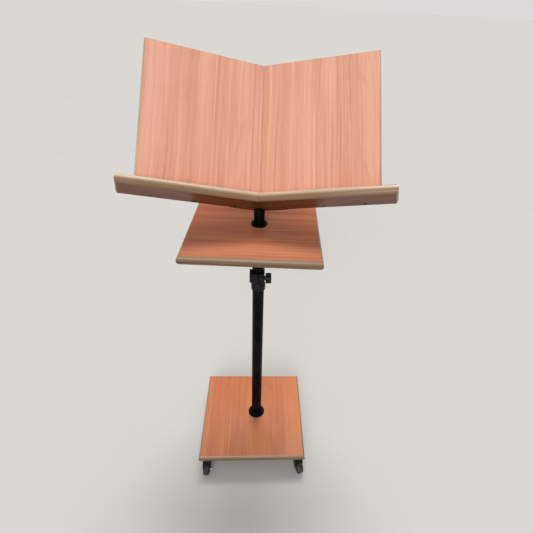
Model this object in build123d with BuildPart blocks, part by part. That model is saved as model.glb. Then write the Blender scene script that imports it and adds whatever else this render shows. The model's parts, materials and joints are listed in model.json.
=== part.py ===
from build123d import *
from math import cos, radians, sin, tan
import os

# Album display stand: a board on four casters, a telescoping mast with a clamp collar,
# a square shelf on the mast, and a V-shaped cradle that holds a large open album.
# Millimetres, +Z up, floor at Z = 0. The reader stands on the -Y side.

os.makedirs("parts", exist_ok=True)

# ---------------------------------------------------------------- boards and edging
board_thickness = 26.0
base_width = 384.0
base_depth = 396.0
shelf_width = 376.0
shelf_depth = 388.0
board_offset_x = -13.0  # middle of both boards, seen from the mast
board_offset_y = -6.0
edging_reach = 6.0  # how far the D-shaped edging stands out from the wood
mitre_gap = 0.2  # open line between two edging strips
valley_gap = 0.6  # open line between the two wings of the cradle

# ---------------------------------------------------------------- heights on the mast
lower_tube_length = 650.0
height_up = 200.0  # travel of the height adjustment above this position
height_down = 90.0  # travel below it
lowered_gap = 6.0  # left between the shelf's neck and the collar when fully lowered
cradle_above_shelf = 81.0  # top of the shelf to the cradle's valley point
overlap_when_raised = 110.0  # upper tube still inside the lower one at the top of the travel

# ---------------------------------------------------------------- tubes
lower_tube_radius = 19.0
tube_wall = 1.5
bush_wall = 1.5  # room between the two tubes, filled by the glide bush
running_clearance = 0.05
sliding_gap = 0.3
bush_length = 50.0
end_plate = 4.0  # flange of the tube plug, and the stop ring above the bush
end_plate_gap = 0.25  # stop ring and plug flange inside the lower tube's bore
plug_length = 22.0
foot_plug_height = 30.0
foot_plug_chamfer = 1.5

# ---------------------------------------------------------------- turned positions
shelf_yaw = -2.5
cradle_yaw = -1.5
caster_swing = {"front_left": -6.0, "front_right": 22.0, "rear_left": 9.0, "rear_right": -13.0}

# ---------------------------------------------------------------- cradle
lean_angle = 41.5  # panels lean back from the vertical
wing_angle = 16.8  # each wing comes forward of the flat
panel_width = 339.0
panel_height = 416.0
ledge_depth = 54.0  # wooden ledge in front of the panel's face
ledge_past_panel = 44.0  # measured along the panel's face

# ---------------------------------------------------------------- flanges
base_neck_wall = 4.0
base_neck_height = 22.0
base_flange_lip = 9.0
base_flange_thickness = 5.0
shelf_cap_lip = 8.0
shelf_cap_thickness = 7.0
shelf_neck_wall = 6.0
shelf_neck_height = 26.0
shelf_flange_lip = 20.0
shelf_flange_thickness = 5.0
rim_round = 2.0
neck_foot_round = 1.5

# ---------------------------------------------------------------- clamp collar
collar_bottom_below_tube_top = 25.0
collar_height = 87.0
skirt_wall = 4.3
skirt_height = 20.0
skirt_taper = 5.0
sleeve_wall = 4.0
collar_round = 1.5
ear_left = 28.0  # from the mast's axis to the face with the bolt's head
ear_right = 18.5  # to the face with the knob
ear_height = 32.0
ear_past_bolt = 10.5
ear_bevel = 6.0
ear_round = 4.0
head_pocket_depth = 6.0
clamp_bolt_radius = 4.0
clamp_bolt_clear = 11.5  # bolt's axis from the upper tube's surface
clamp_bolt_above_tube_top = 34.0
clamp_washer_thickness = 1.2
clamp_washer_radius = 8.0
split_width = 3.0
split_start = 6.0  # split's lower end above the lower tube
knob_radius = 17.0
knob_length = 18.0
knob_neck = 3.0
knob_crown = 4.0  # solid end of the knob, beyond its insert
knob_lobes = 6
knob_scallop_radius = 4.0
knob_round = 3.0
insert_radius = 6.5
bolt_short_of_knob = 6.0

# ---------------------------------------------------------------- casters
wheel_radius = 25.0
wheel_width = 19.0
tread_thickness = 6.0
tread_round = 3.0
hub_rim = 3.0
hub_recess = 4.0
boss_radius = 7.0
caster_trail = 28.0
caster_plate_size = 50.0
plate_thickness = 2.5
plate_corner = 5.0
plate_margin = 5.0  # plate's edge from the outer face of the edging
plate_screw_margin = 6.5
cup_radius = 15.0
cup_depth = 7.0
cup_floor = 2.5
fork_sheet = 2.5
crown_radius = 17.0
crown_clearance = 8.2  # crown of the fork above the wheel
arm_clearance = 2.0
king_pin_radius = 4.0
pin_head_radius = 8.0
pin_foot_radius = 7.0
pin_head_thickness = 2.0
axle_radius = 3.0
axle_past_fork = 7.0

# ---------------------------------------------------------------- head bracket
leaf_thickness = 4.0
leaf_width = 80.0
leaf_height = 200.0
head_neck_length = 12.0  # from the tube's end to the cradle's lower corner
spigot_length = 60.0
gusset_thickness = 6.0
gusset_rise = 110.0
weld_overlap = 1.0

# ---------------------------------------------------------------- fasteners
hexagon_reach = 1.85  # corner of a hexagon head over its shank's radius
bolt_head_rise = 1.35  # height of a bolt's head over its shank's radius
nut_rise = 1.6
hexagon_chamfer = 0.12
flange_screw_radius = 2.0
flange_screw_length = 18.0
caster_screw_radius = 2.0
caster_screw_length = 16.0
bracket_screw_radius = 2.25
bracket_screw_length = 20.0
bracket_screw_ends = (35.0, 20.0)  # lowest and highest rows from the leaf's fold and top
bracket_screw_sides = (28.0, 16.0)  # columns from the leaf's fold and outer edge
ledge_screw_radius = 2.5
ledge_screw_length = 56.0
ledge_screw_ends = (70.0, 39.0)  # first and last screws from the valley and the panel's edge
shelf_bolt_radius = 2.0
shelf_bolt_past_flange = 5.0
set_screw_radius = 3.0
set_screw_turns = (75.0, 105.0)
mast_bolt_radius = 5.0
mast_washer_radius = 12.0
mast_washer_thickness = 2.0

# ---------------------------------------------------------------- places worked out
upper_tube_radius = lower_tube_radius - tube_wall - bush_wall
lower_tube_bore = lower_tube_radius - tube_wall
upper_tube_bore = upper_tube_radius - tube_wall
crown_top = -cup_depth - sliding_gap
crown_bottom = crown_top - fork_sheet
base_underside = 2 * wheel_radius + crown_clearance - crown_bottom
base_top = base_underside + board_thickness
lower_tube_top = base_top + lower_tube_length
collar_bottom = lower_tube_top - collar_bottom_below_tube_top
collar_top = collar_bottom + collar_height
shelf_underside = collar_top + lowered_gap + height_down + shelf_neck_height
shelf_top = shelf_underside + board_thickness
upper_tube_bottom = lower_tube_top - height_up - overlap_when_raised
valley_z = shelf_top + cradle_above_shelf
lean = radians(lean_angle)
wing = radians(wing_angle)
base_side_reach = base_width / 2 + edging_reach
base_end_reach = base_depth / 2 + edging_reach
caster_inset = caster_plate_size / 2 + plate_margin
ledge_half_length = panel_width + ledge_past_panel
front_reach = base_end_reach - board_offset_y - caster_inset + caster_trail + wheel_radius
rear_reach = (panel_height + edging_reach) * sin(lean) + board_thickness * cos(lean) / cos(wing)
mast_x = 0.0
mast_y = (front_reach - rear_reach) / 2
cradle_corner_z = valley_z - board_thickness * (cos(lean) + sin(lean) / cos(wing))
upper_tube_top = cradle_corner_z - head_neck_length

# ---------------------------------------------------------------- planes and directions


def turned_plane(height, yaw, shift_x=0.0, shift_y=0.0):
    """Level plane turned about the mast's axis, its origin shifted along its own X and Y."""
    turn = radians(yaw)
    origin_x = mast_x + shift_x * cos(turn) - shift_y * sin(turn)
    origin_y = mast_y + shift_x * sin(turn) + shift_y * cos(turn)
    return Plane(origin=(origin_x, origin_y, height), x_dir=(cos(turn), sin(turn), 0), z_dir=(0, 0, 1))


def on_mast(height):
    """Level plane on the mast's axis."""
    return Plane(origin=(mast_x, mast_y, height))


base_board_plane = turned_plane(base_underside, 0, board_offset_x, board_offset_y)
shelf_mast_plane = turned_plane(shelf_underside, shelf_yaw)
shelf_board_plane = turned_plane(shelf_underside, shelf_yaw, board_offset_x, board_offset_y)
cradle_plane = turned_plane(valley_z, cradle_yaw)

across = cradle_plane.x_dir
backward = cradle_plane.y_dir
upward = cradle_plane.z_dir
spine = backward * sin(lean) + upward * cos(lean)
facing = upward * sin(lean) - backward * cos(lean)
middle_plane = Plane(origin=cradle_plane.origin, x_dir=backward, z_dir=across)
mast_axis = Axis((mast_x, mast_y, 0), (0, 0, 1))


def wing_out(side):
    """Direction along a wing, away from the valley. side is 1 for right, -1 for left."""
    return across * (side * cos(wing)) + facing * sin(wing)


def wing_facing(side):
    """Direction square to a wing's panel, towards the reader."""
    return facing * cos(wing) - across * (side * sin(wing))


def wing_point(side, out, up, toward):
    return cradle_plane.origin + wing_out(side) * out + spine * up + wing_facing(side) * toward


def wing_section(side, up):
    """Plane across a wing: local X runs along the wing, local Y runs towards its back."""
    return Plane(origin=wing_point(side, 0, up, 0), x_dir=wing_out(side) * side, z_dir=spine)


def wing_face(side, toward):
    """Plane in a wing's panel: local X along the wing, local Y up the panel."""
    origin = wing_point(side, 0, 0, toward)
    return Plane(origin=origin, x_dir=wing_out(side) * side, z_dir=wing_facing(side))


def own_half(side):
    return Keep.TOP if side > 0 else Keep.BOTTOM


def wing_cut(side):
    """Plane where one wing stops, just short of the cradle's middle plane."""
    return middle_plane.offset(side * valley_gap / 2)


side_name = {-1: "left", 1: "right"}

# ---------------------------------------------------------------- shared shapes


def edging_strip(plane, inner_start, inner_end, outer_start, outer_end):
    """D-shaped wooden strip on a board's edge, its plan given by four points on the lower face."""
    start = plane.from_local_coords(Vector(*inner_start))
    end = plane.from_local_coords(Vector(*inner_end))
    run = end - start
    reach = plane.from_local_coords(Vector(*outer_start)) - start
    outward = (reach - run * (reach.dot(run) / run.dot(run))).normalized()
    section = Plane(origin=start, x_dir=outward, z_dir=outward.cross(plane.z_dir))
    with BuildPart() as strip:
        with BuildSketch(plane):
            with BuildLine():
                Polyline(inner_start, inner_end, outer_end, outer_start, close=True)
            make_face()
        extrude(amount=board_thickness)
        with BuildSketch(section):
            with BuildLine():
                ThreePointArc((0, 0), (edging_reach, board_thickness / 2), (0, board_thickness))
                Line((0, board_thickness), (0, 0))
            make_face()
        extrude(amount=2 * run.length, both=True, mode=Mode.INTERSECT)
    return strip.part


def board_edging(plane, width, depth):
    """Four mitred strips round a rectangular board."""
    strips = []
    for quarter in range(4):
        side_plane = plane.rotated((0, 0, 90 * quarter))
        run, side = (width, depth) if quarter % 2 == 0 else (depth, width)
        inner = side / 2
        outer = inner + edging_reach
        near = (run - mitre_gap) / 2
        far = near + edging_reach
        strips.append(edging_strip(side_plane, (-near, -inner), (near, -inner), (-far, -outer), (far, -outer)))
    return strips


def screw_blank(radius, length):
    """Countersunk screw without its recess: head up at the origin, pointing down."""
    head_radius = 2 * radius
    tip_length = 1.5 * radius
    with BuildPart() as blank:
        with BuildSketch(Plane.XZ):
            with BuildLine():
                Polyline(
                    (0, 0),
                    (head_radius, 0),
                    (radius, radius - head_radius),
                    (radius, tip_length - length),
                    (0, -length),
                    close=True,
                )
            make_face()
        revolve(axis=Axis.Z)
    return blank.part


def cross_screw(radius, length):
    """Countersunk screw with a cross recess."""
    recess_depth = 0.7 * radius
    recess_width = 0.4 * radius
    blank = screw_blank(radius, length)
    with BuildPart() as screw:
        add(blank)
        with BuildSketch():
            Rectangle(2 * radius, recess_width)
            Rectangle(recess_width, 2 * radius)
        extrude(amount=-recess_depth, mode=Mode.SUBTRACT)
    return screw.part


def hex_bolt(radius, length):
    """Hexagon-head bolt: underside of the head at the origin, shank pointing up."""
    with BuildPart() as bolt:
        with BuildSketch():
            RegularPolygon(hexagon_reach * radius, 6)
        extrude(amount=-bolt_head_rise * radius)
        chamfer(bolt.faces().sort_by(Axis.Z)[0].edges(), hexagon_chamfer * radius)
        with BuildSketch():
            Circle(radius)
        extrude(amount=length)
        chamfer(bolt.faces().sort_by(Axis.Z)[-1].edges(), hexagon_chamfer * radius)
    return bolt.part


def hex_nut(radius):
    """Hexagon nut with its lower face at the origin."""
    with BuildPart() as nut:
        with BuildSketch():
            RegularPolygon(hexagon_reach * radius, 6)
            Circle(radius, mode=Mode.SUBTRACT)
        extrude(amount=nut_rise * radius)
    return nut.part


# ---------------------------------------------------------------- where the fasteners go
base_neck_radius = lower_tube_radius + base_neck_wall
base_flange_radius = base_neck_radius + base_flange_lip
flange_screw = cross_screw(flange_screw_radius, flange_screw_length)
flange_screw_hole = screw_blank(flange_screw_radius, flange_screw_length)
flange_screw_ring = (base_flange_radius + base_neck_radius) / 2
flange_screw_places = PolarLocations(flange_screw_ring, 4, start_angle=45)
flange_face = on_mast(base_top + base_flange_thickness).location
flange_screw_spots = [flange_face * spot for spot in flange_screw_places.local_locations]

mast_bolt_head = bolt_head_rise * mast_bolt_radius
mast_bolt_seat = base_underside + mast_bolt_head + mast_washer_thickness

caster_spots = {}
for end_word, end_sign in (("front", -1), ("rear", 1)):
    for side_word, side_sign in (("left", -1), ("right", 1)):
        caster_spots[f"{end_word}_{side_word}"] = (
            mast_x + board_offset_x + side_sign * (base_side_reach - caster_inset),
            mast_y + board_offset_y + end_sign * (base_end_reach - caster_inset),
        )
caster_screw_grid = caster_plate_size - 2 * plate_screw_margin
caster_screw = cross_screw(caster_screw_radius, caster_screw_length)
caster_screw_hole = screw_blank(caster_screw_radius, caster_screw_length)
caster_screw_spots = []
for corner_x, corner_y in caster_spots.values():
    plate_face = Plane(origin=(corner_x, corner_y, base_underside - plate_thickness), z_dir=(0, 0, -1))
    grid = GridLocations(caster_screw_grid, caster_screw_grid, 2, 2)
    caster_screw_spots += [plate_face.location * spot for spot in grid.local_locations]

# ---------------------------------------------------------------- base board
with BuildPart() as base_board:
    with BuildSketch(base_board_plane):
        Rectangle(base_width, base_depth)
    extrude(amount=board_thickness)
    with BuildSketch(on_mast(base_underside)):
        Circle(mast_washer_radius + sliding_gap)
    extrude(amount=mast_bolt_head + mast_washer_thickness, mode=Mode.SUBTRACT)
    with BuildSketch(on_mast(base_underside)):
        Circle(mast_bolt_radius + sliding_gap)
    extrude(amount=board_thickness, mode=Mode.SUBTRACT)
    with Locations(*flange_screw_spots):
        add(flange_screw_hole, mode=Mode.SUBTRACT)
    with Locations(*caster_screw_spots):
        add(caster_screw_hole, mode=Mode.SUBTRACT)
base_board.part.label = "base_board"
export_step(base_board.part, "parts/base_board.step")

base_strips = board_edging(base_board_plane, base_width, base_depth)
with BuildPart() as base_edging:
    add(base_strips)
base_edging.part.label = "base_edging"
export_step(base_edging.part, "parts/base_edging.step")

# ---------------------------------------------------------------- mast foot
with BuildPart() as base_flange:
    with BuildSketch(Plane.XZ.offset(-mast_y)):
        with BuildLine():
            Polyline(
                (lower_tube_radius, base_top),
                (base_flange_radius, base_top),
                (base_flange_radius, base_top + base_flange_thickness),
                (base_neck_radius, base_top + base_flange_thickness),
                (base_neck_radius, base_top + base_neck_height),
                (lower_tube_radius, base_top + base_neck_height),
                close=True,
            )
        make_face()
    revolve(axis=mast_axis)
    rim = base_flange.edges().filter_by(GeomType.CIRCLE).group_by(SortBy.RADIUS)[-1].sort_by(Axis.Z)[-1]
    fillet(rim, rim_round)
    circles = base_flange.edges().filter_by(GeomType.CIRCLE)
    neck_edges = circles.filter_by(lambda edge: round(edge.radius - base_neck_radius, 2) == 0)
    fillet(neck_edges.sort_by(Axis.Z)[0], neck_foot_round)
    fillet(neck_edges.sort_by(Axis.Z)[-1], rim_round)
    with Locations(*flange_screw_spots):
        add(flange_screw_hole, mode=Mode.SUBTRACT)
base_flange.part.label = "base_flange"
export_step(base_flange.part, "parts/base_flange.step")

with BuildPart() as base_flange_screws:
    with Locations(*flange_screw_spots):
        add(flange_screw)
base_flange_screws.part.label = "base_flange_screws"
export_step(base_flange_screws.part, "parts/base_flange_screws.step")

with BuildPart() as lower_tube:
    with BuildSketch(on_mast(base_top)):
        Circle(lower_tube_radius)
        Circle(lower_tube_bore, mode=Mode.SUBTRACT)
    extrude(amount=lower_tube_length)
lower_tube.part.label = "lower_tube"
export_step(lower_tube.part, "parts/lower_tube.step")

plug_top = base_top + foot_plug_height
with BuildPart() as foot_plug:
    with BuildSketch(on_mast(base_top)):
        Circle(lower_tube_bore)
        Circle(mast_bolt_radius, mode=Mode.SUBTRACT)
    extrude(amount=plug_top - base_top)
    plug_rims = foot_plug.faces().sort_by(Axis.Z)[-1].edges().sort_by(SortBy.RADIUS)
    chamfer(plug_rims[-1], foot_plug_chamfer)
foot_plug.part.label = "foot_plug"
export_step(foot_plug.part, "parts/foot_plug.step")

with BuildPart() as mast_washer:
    with BuildSketch(on_mast(mast_bolt_seat)):
        Circle(mast_washer_radius)
        Circle(mast_bolt_radius, mode=Mode.SUBTRACT)
    extrude(amount=-mast_washer_thickness)
mast_washer.part.label = "mast_washer"
export_step(mast_washer.part, "parts/mast_washer.step")

long_bolt = hex_bolt(mast_bolt_radius, plug_top - mast_bolt_seat)
with BuildPart() as mast_bolt:
    with Locations(on_mast(mast_bolt_seat - mast_washer_thickness).location):
        add(long_bolt)
mast_bolt.part.label = "mast_bolt"
export_step(mast_bolt.part, "parts/mast_bolt.step")

# ---------------------------------------------------------------- clamp collar
skirt_radius = lower_tube_radius + skirt_wall
sleeve_radius = upper_tube_radius + sleeve_wall
collar_bore = upper_tube_radius + sliding_gap
clamp_axis_y = mast_y - upper_tube_radius - clamp_bolt_clear
clamp_axis_z = lower_tube_top + clamp_bolt_above_tube_top
ear_front = clamp_axis_y - ear_past_bolt
ear_bottom = clamp_axis_z - ear_height / 2
ear_top = clamp_axis_z + ear_height / 2
with BuildPart() as height_collar:
    with BuildSketch(Plane.XZ.offset(-mast_y)):
        with BuildLine():
            Polyline(
                (0, collar_bottom),
                (skirt_radius, collar_bottom),
                (skirt_radius, collar_bottom + skirt_height),
                (sleeve_radius, collar_bottom + skirt_height + skirt_taper),
                (sleeve_radius, collar_top),
                (0, collar_top),
                close=True,
            )
        make_face()
    revolve(axis=mast_axis)
    collar_rims = height_collar.edges().filter_by(GeomType.CIRCLE).sort_by(Axis.Z)
    fillet([collar_rims[0], collar_rims[1], collar_rims[-1]], collar_round)
    with BuildSketch(Plane.YZ.offset(-ear_left)):
        with BuildLine():
            Polyline(
                (mast_y, ear_bottom),
                (ear_front + ear_bevel, ear_bottom),
                (ear_front, ear_bottom + ear_bevel),
                (ear_front, ear_top - ear_bevel),
                (ear_front + ear_bevel, ear_top),
                (mast_y, ear_top),
                close=True,
            )
        make_face()
    extrude(amount=ear_left + ear_right)
    ear_corners = height_collar.edges().filter_by(Axis.Z).group_by(Axis.Y)[0]
    fillet(ear_corners, ear_round)
    with BuildSketch(on_mast(collar_bottom)):
        Circle(lower_tube_radius)
    extrude(amount=collar_bottom_below_tube_top, mode=Mode.SUBTRACT)
    with BuildSketch(on_mast(collar_bottom)):
        Circle(collar_bore)
    extrude(amount=collar_height, mode=Mode.SUBTRACT)
    with BuildSketch(Plane.XY.offset(lower_tube_top + split_start)):
        with Locations((mast_x, ear_front)):
            Rectangle(split_width, 2 * (mast_y - ear_front))
    extrude(amount=collar_height, mode=Mode.SUBTRACT)
    with BuildSketch(Plane.YZ.offset(-ear_left)):
        with Locations((clamp_axis_y, clamp_axis_z)):
            Circle(clamp_bolt_radius + sliding_gap)
    extrude(amount=ear_left + ear_right, mode=Mode.SUBTRACT)
    with BuildSketch(Plane.YZ.offset(-ear_left)):
        with Locations((clamp_axis_y, clamp_axis_z)):
            RegularPolygon(hexagon_reach * clamp_bolt_radius + sliding_gap, 6)
    extrude(amount=head_pocket_depth, mode=Mode.SUBTRACT)
height_collar.part.label = "height_collar"
export_step(height_collar.part, "parts/height_collar.step")

bolt_seat_x = head_pocket_depth - ear_left
knob_start = ear_right + clamp_washer_thickness + sliding_gap
knob_end = knob_start + knob_neck + knob_length


def on_clamp_axis(x):
    """Plane square to the clamp bolt at a distance to the right of the mast's axis."""
    return Plane(origin=(mast_x + x, clamp_axis_y, clamp_axis_z), x_dir=(0, 1, 0), z_dir=(1, 0, 0))


cross_bolt = hex_bolt(clamp_bolt_radius, knob_end - bolt_short_of_knob - bolt_seat_x)
with BuildPart() as clamp_bolt:
    with Locations(on_clamp_axis(bolt_seat_x).location):
        add(cross_bolt)
clamp_bolt.part.label = "clamp_bolt"
export_step(clamp_bolt.part, "parts/clamp_bolt.step")

with BuildPart() as clamp_washer:
    with BuildSketch(on_clamp_axis(ear_right)):
        Circle(clamp_washer_radius)
        Circle(clamp_bolt_radius, mode=Mode.SUBTRACT)
    extrude(amount=clamp_washer_thickness)
clamp_washer.part.label = "clamp_washer"
export_step(clamp_washer.part, "parts/clamp_washer.step")

knob_plane = on_clamp_axis(knob_start)
insert_length = knob_neck + knob_length - knob_crown
with BuildPart() as clamp_knob:
    with BuildSketch(knob_plane):
        Circle(clamp_washer_radius)
    extrude(amount=knob_neck)
    with BuildSketch(knob_plane.offset(knob_neck)):
        Circle(knob_radius)
        with PolarLocations(knob_radius + knob_scallop_radius / 2, knob_lobes):
            Circle(knob_scallop_radius, mode=Mode.SUBTRACT)
    extrude(amount=knob_length)
    fillet(clamp_knob.faces().sort_by(Axis.X)[-1].edges(), knob_round)
    with BuildSketch(knob_plane):
        Circle(insert_radius)
    extrude(amount=insert_length, mode=Mode.SUBTRACT)
clamp_knob.part.label = "clamp_knob"
export_step(clamp_knob.part, "parts/clamp_knob.step")

with BuildPart() as knob_insert:
    with BuildSketch(knob_plane):
        Circle(insert_radius)
        Circle(clamp_bolt_radius + running_clearance, mode=Mode.SUBTRACT)
    extrude(amount=insert_length)
knob_insert.part.label = "knob_insert"
export_step(knob_insert.part, "parts/knob_insert.step")

# ---------------------------------------------------------------- telescoping tube
bush_bottom = upper_tube_bottom + sliding_gap
stop_ring_bottom = bush_bottom + bush_length + sliding_gap
stop_radius = lower_tube_bore - end_plate_gap

with BuildPart() as glide_bush:
    with BuildSketch(on_mast(bush_bottom)):
        Circle(lower_tube_bore - running_clearance)
        Circle(upper_tube_radius + running_clearance, mode=Mode.SUBTRACT)
    extrude(amount=bush_length)
glide_bush.part.label = "glide_bush"
export_step(glide_bush.part, "parts/glide_bush.step")

with BuildPart() as stop_ring:
    with BuildSketch(on_mast(stop_ring_bottom)):
        Circle(stop_radius)
        Circle(upper_tube_radius, mode=Mode.SUBTRACT)
    extrude(amount=end_plate)
stop_ring.part.label = "stop_ring"
export_step(stop_ring.part, "parts/stop_ring.step")

with BuildPart() as upper_tube_plug:
    with BuildSketch(on_mast(upper_tube_bottom)):
        Circle(upper_tube_bore)
    extrude(amount=plug_length)
    with BuildSketch(on_mast(upper_tube_bottom)):
        Circle(stop_radius)
    extrude(amount=-end_plate)
upper_tube_plug.part.label = "upper_tube_plug"
export_step(upper_tube_plug.part, "parts/upper_tube_plug.step")

with BuildPart() as upper_tube:
    with BuildSketch(on_mast(upper_tube_bottom)):
        Circle(upper_tube_radius)
        Circle(upper_tube_bore, mode=Mode.SUBTRACT)
    extrude(amount=upper_tube_top - upper_tube_bottom)
upper_tube.part.label = "upper_tube"
export_step(upper_tube.part, "parts/upper_tube.step")

# ---------------------------------------------------------------- shelf
shelf_cap_radius = upper_tube_radius + shelf_cap_lip
shelf_neck_radius = upper_tube_radius + shelf_neck_wall
shelf_flange_radius = shelf_neck_radius + shelf_flange_lip
shelf_bolt_ring = (shelf_cap_radius + upper_tube_radius) / 2
shelf_bolt_grip = shelf_cap_thickness + board_thickness + shelf_flange_thickness
shelf_bolt_length = shelf_bolt_grip + shelf_bolt_past_flange
shelf_bolt = cross_screw(shelf_bolt_radius, shelf_bolt_length)
shelf_bolt_hole = screw_blank(shelf_bolt_radius, shelf_bolt_length)
cap_top_plane = shelf_mast_plane.offset(board_thickness + shelf_cap_thickness)
shelf_bolt_places = PolarLocations(shelf_bolt_ring, 3, start_angle=90)
shelf_bolt_spots = [cap_top_plane.location * spot for spot in shelf_bolt_places.local_locations]

with BuildPart() as shelf_board:
    with BuildSketch(shelf_board_plane):
        Rectangle(shelf_width, shelf_depth)
    extrude(amount=board_thickness)
    with BuildSketch(shelf_mast_plane):
        Circle(upper_tube_radius + sliding_gap)
    extrude(amount=board_thickness, mode=Mode.SUBTRACT)
    with Locations(*shelf_bolt_spots):
        add(shelf_bolt_hole, mode=Mode.SUBTRACT)
shelf_board.part.label = "shelf_board"
export_step(shelf_board.part, "parts/shelf_board.step")

shelf_strips = board_edging(shelf_board_plane, shelf_width, shelf_depth)
with BuildPart() as shelf_edging:
    add(shelf_strips)
shelf_edging.part.label = "shelf_edging"
export_step(shelf_edging.part, "parts/shelf_edging.step")

with BuildPart() as shelf_upper_flange:
    with BuildSketch(shelf_mast_plane.offset(board_thickness)):
        Circle(shelf_cap_radius)
        Circle(upper_tube_radius, mode=Mode.SUBTRACT)
    extrude(amount=shelf_cap_thickness)
    cap_rims = shelf_upper_flange.faces().sort_by(Axis.Z)[-1].edges().sort_by(SortBy.RADIUS)
    fillet(cap_rims[-1], rim_round)
    with Locations(*shelf_bolt_spots):
        add(shelf_bolt_hole, mode=Mode.SUBTRACT)
shelf_upper_flange.part.label = "shelf_upper_flange"
export_step(shelf_upper_flange.part, "parts/shelf_upper_flange.step")

set_screw_length = shelf_neck_radius - upper_tube_radius
set_screw_drop = shelf_flange_thickness + (shelf_neck_height - shelf_flange_thickness) / 2
set_screw_spots = []
for screw_turn in set_screw_turns:
    screw_plane = shelf_mast_plane.offset(-set_screw_drop).rotated((0, 0, screw_turn))
    outward_plane = Plane(origin=screw_plane.origin, x_dir=screw_plane.z_dir, z_dir=screw_plane.x_dir)
    set_screw_spots.append(outward_plane.offset(upper_tube_radius).location)

with BuildPart() as set_screw_blank:
    with BuildSketch():
        Circle(set_screw_radius)
    extrude(amount=set_screw_length)

with BuildPart() as set_screw:
    add(set_screw_blank.part)
    with BuildSketch(Plane.XY.offset(set_screw_length)):
        RegularPolygon(set_screw_radius / 2, 6)
    extrude(amount=-set_screw_length / 2, mode=Mode.SUBTRACT)

with BuildPart() as shelf_lower_flange:
    with BuildSketch(shelf_mast_plane):
        Circle(shelf_flange_radius)
    extrude(amount=-shelf_flange_thickness)
    with BuildSketch(shelf_mast_plane):
        Circle(shelf_neck_radius)
    extrude(amount=-shelf_neck_height)
    with BuildSketch(shelf_mast_plane):
        Circle(upper_tube_radius)
    extrude(amount=-shelf_neck_height, mode=Mode.SUBTRACT)
    lower_rims = shelf_lower_flange.edges().filter_by(GeomType.CIRCLE).group_by(SortBy.RADIUS)[-1]
    fillet(lower_rims.sort_by(Axis.Z)[0], rim_round)
    with Locations(*shelf_bolt_spots):
        add(shelf_bolt_hole, mode=Mode.SUBTRACT)
    with Locations(*set_screw_spots):
        add(set_screw_blank.part, mode=Mode.SUBTRACT)
shelf_lower_flange.part.label = "shelf_lower_flange"
export_step(shelf_lower_flange.part, "parts/shelf_lower_flange.step")

with BuildPart() as shelf_bolts:
    with Locations(*shelf_bolt_spots):
        add(shelf_bolt)
shelf_bolts.part.label = "shelf_bolts"
export_step(shelf_bolts.part, "parts/shelf_bolts.step")

with BuildPart() as shelf_set_screws:
    with Locations(*set_screw_spots):
        add(set_screw.part)
shelf_set_screws.part.label = "shelf_set_screws"
export_step(shelf_set_screws.part, "parts/shelf_set_screws.step")

# ---------------------------------------------------------------- cradle fasteners
bracket_screw = cross_screw(bracket_screw_radius, bracket_screw_length)
bracket_screw_hole = screw_blank(bracket_screw_radius, bracket_screw_length)
ledge_screw = cross_screw(ledge_screw_radius, ledge_screw_length)
ledge_screw_hole = screw_blank(ledge_screw_radius, ledge_screw_length)
lowest_row = bracket_screw_ends[0]
highest_row = leaf_height - bracket_screw_ends[1]
bracket_screw_rows = (lowest_row, (lowest_row + highest_row) / 2, highest_row)
bracket_screw_columns = (bracket_screw_sides[0], leaf_width - bracket_screw_sides[1])
first_screw = ledge_screw_ends[0]
last_screw = panel_width - ledge_screw_ends[1]
ledge_screw_columns = (first_screw, (first_screw + last_screw) / 2, last_screw)


def bracket_screw_spots(side):
    """Heads on the back of the bracket's leaf, pointing into the panel."""
    back = wing_face(side, -board_thickness - leaf_thickness)
    spots = []
    for out in bracket_screw_columns:
        for up in bracket_screw_rows:
            origin = back.from_local_coords(Vector(side * out, up, 0))
            spots.append(Plane(origin=origin, z_dir=-back.z_dir).location)
    return spots


def ledge_screw_spots(side):
    """Heads on the ledge's underside, pointing up into the panel's lower edge."""
    spots = []
    for out in ledge_screw_columns:
        origin = wing_point(side, out, -board_thickness, -board_thickness / 2)
        spots.append(Plane(origin=origin, z_dir=-spine).location)
    return spots


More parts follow.
